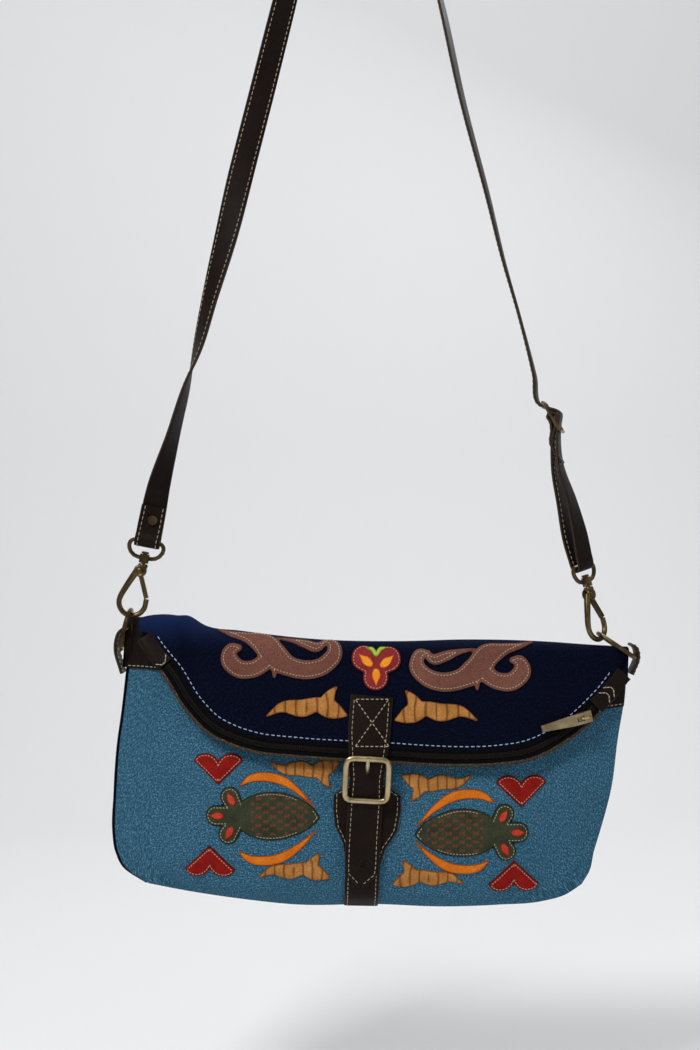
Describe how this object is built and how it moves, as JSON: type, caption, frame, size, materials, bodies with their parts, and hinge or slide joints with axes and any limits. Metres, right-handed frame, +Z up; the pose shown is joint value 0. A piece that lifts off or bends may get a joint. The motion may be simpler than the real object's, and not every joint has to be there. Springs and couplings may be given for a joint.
{
  "type": "crossbody bag",
  "caption": "Small fold-over crossbody bag in canvas with a curved zip, a buckled front strap, sewn-on ornaments and a shoulder strap on swivel snap hooks, hanging by its strap.",
  "frame": {"origin": "underside of the shoulder strap at its highest point, where the bag hangs", "axes": "+X to the right seen from the front, +Y away from the viewer, +Z up"},
  "size_m": [0.3099, 0.0469, 0.6629],
  "materials": {
    "navy_canvas": "coarse dark canvas weave",
    "blue_canvas": "coarse blue canvas weave",
    "zip_tape": "woven tape",
    "zip_coil": "ribbed nylon coil",
    "edge_trim": "folded edge tape",
    "dark_leather": "grained, waxed",
    "antique_brass": "antiqued, worn on the edges",
    "brown_leather": "matt, mottled",
    "red_leather": "matt",
    "tan_felt": "mottled nap",
    "orange_felt": "soft nap",
    "red_felt": "soft nap",
    "olive_felt": "soft nap"
  },
  "bodies": {
    "root": {"back_panel": "navy_canvas", "front_panel": "blue_canvas", "zip_tape_upper": "zip_tape", "zip_tape_lower": "zip_tape", "zip_coil": "zip_coil", "edge_piping": "edge_trim", "zip_slider": "antique_brass", "zip_end_left": "dark_leather", "zip_end_right": "dark_leather", "ring_tab_left": "dark_leather", "ring_tab_right": "dark_leather", "d_ring_left": "antique_brass", "d_ring_right": "antique_brass", "hook_eye_left": "antique_brass", "hook_eye_right": "antique_brass", "shoulder_strap": "dark_leather", "strap_rivet": "antique_brass", "strap_slide": "antique_brass", "closure_strap": "dark_leather", "closure_buckle": "antique_brass", "buckle_prong": "antique_brass", "base_strap": "dark_leather", "scroll_left": "brown_leather", "scroll_right": "brown_leather", "trefoil": "red_leather", "leaf_top_left": "tan_felt", "leaf_mid_left": "tan_felt", "leaf_low_left": "tan_felt", "leaf_top_right": "tan_felt", "leaf_mid_right": "tan_felt", "leaf_low_right": "tan_felt", "crescent_top_left": "orange_felt", "crescent_low_left": "orange_felt", "crescent_top_right": "orange_felt", "crescent_low_right": "orange_felt", "heart_top_left": "red_felt", "heart_low_left": "red_felt", "heart_top_right": "red_felt", "heart_low_right": "red_felt", "bud_left": "olive_felt", "bud_right": "olive_felt"},
    "hook_left": {"hook_body_left": "antique_brass"},
    "gate_left": {"hook_gate_left": "antique_brass"},
    "hook_right": {"hook_body_right": "antique_brass"},
    "gate_right": {"hook_gate_right": "antique_brass"},
    "zip_pull": {"zip_pull": "antique_brass"}
  },
  "joints": [
    {"name": "hook_swivel_left", "type": "hinge", "parent": "root", "child": "hook_left", "pos_m": [-0.1284, 0, -0.4577], "axis": [0.1908, 0, 0.9816], "range_deg": [-12, 12]},
    {"name": "gate_hinge_left", "type": "hinge", "parent": "hook_left", "child": "gate_left", "pos_m": [-0.13034, 0, -0.46242], "axis": [0, 1, 0], "range_deg": [0, 28], "stiffness_Nm_per_rad": 0.01, "springref_deg": -11.46},
    {"name": "hook_swivel_right", "type": "hinge", "parent": "root", "child": "hook_right", "pos_m": [0.1353, 0, -0.4714], "axis": [-0.2588, 0, 0.9659], "range_deg": [-12, 1]},
    {"name": "gate_hinge_right", "type": "hinge", "parent": "hook_right", "child": "gate_right", "pos_m": [0.13591, -0.00071, -0.47641], "axis": [-0.683, 0.7071, -0.183], "range_deg": [0, 28], "stiffness_Nm_per_rad": 0.01, "springref_deg": -11.46},
    {"name": "zip_pull_hinge", "type": "hinge", "parent": "root", "child": "zip_pull", "pos_m": [0.13091, -0.0197, -0.54657], "axis": [-0.2321, 0.0349, 0.9721], "range_deg": [0, 130]}
  ]
}
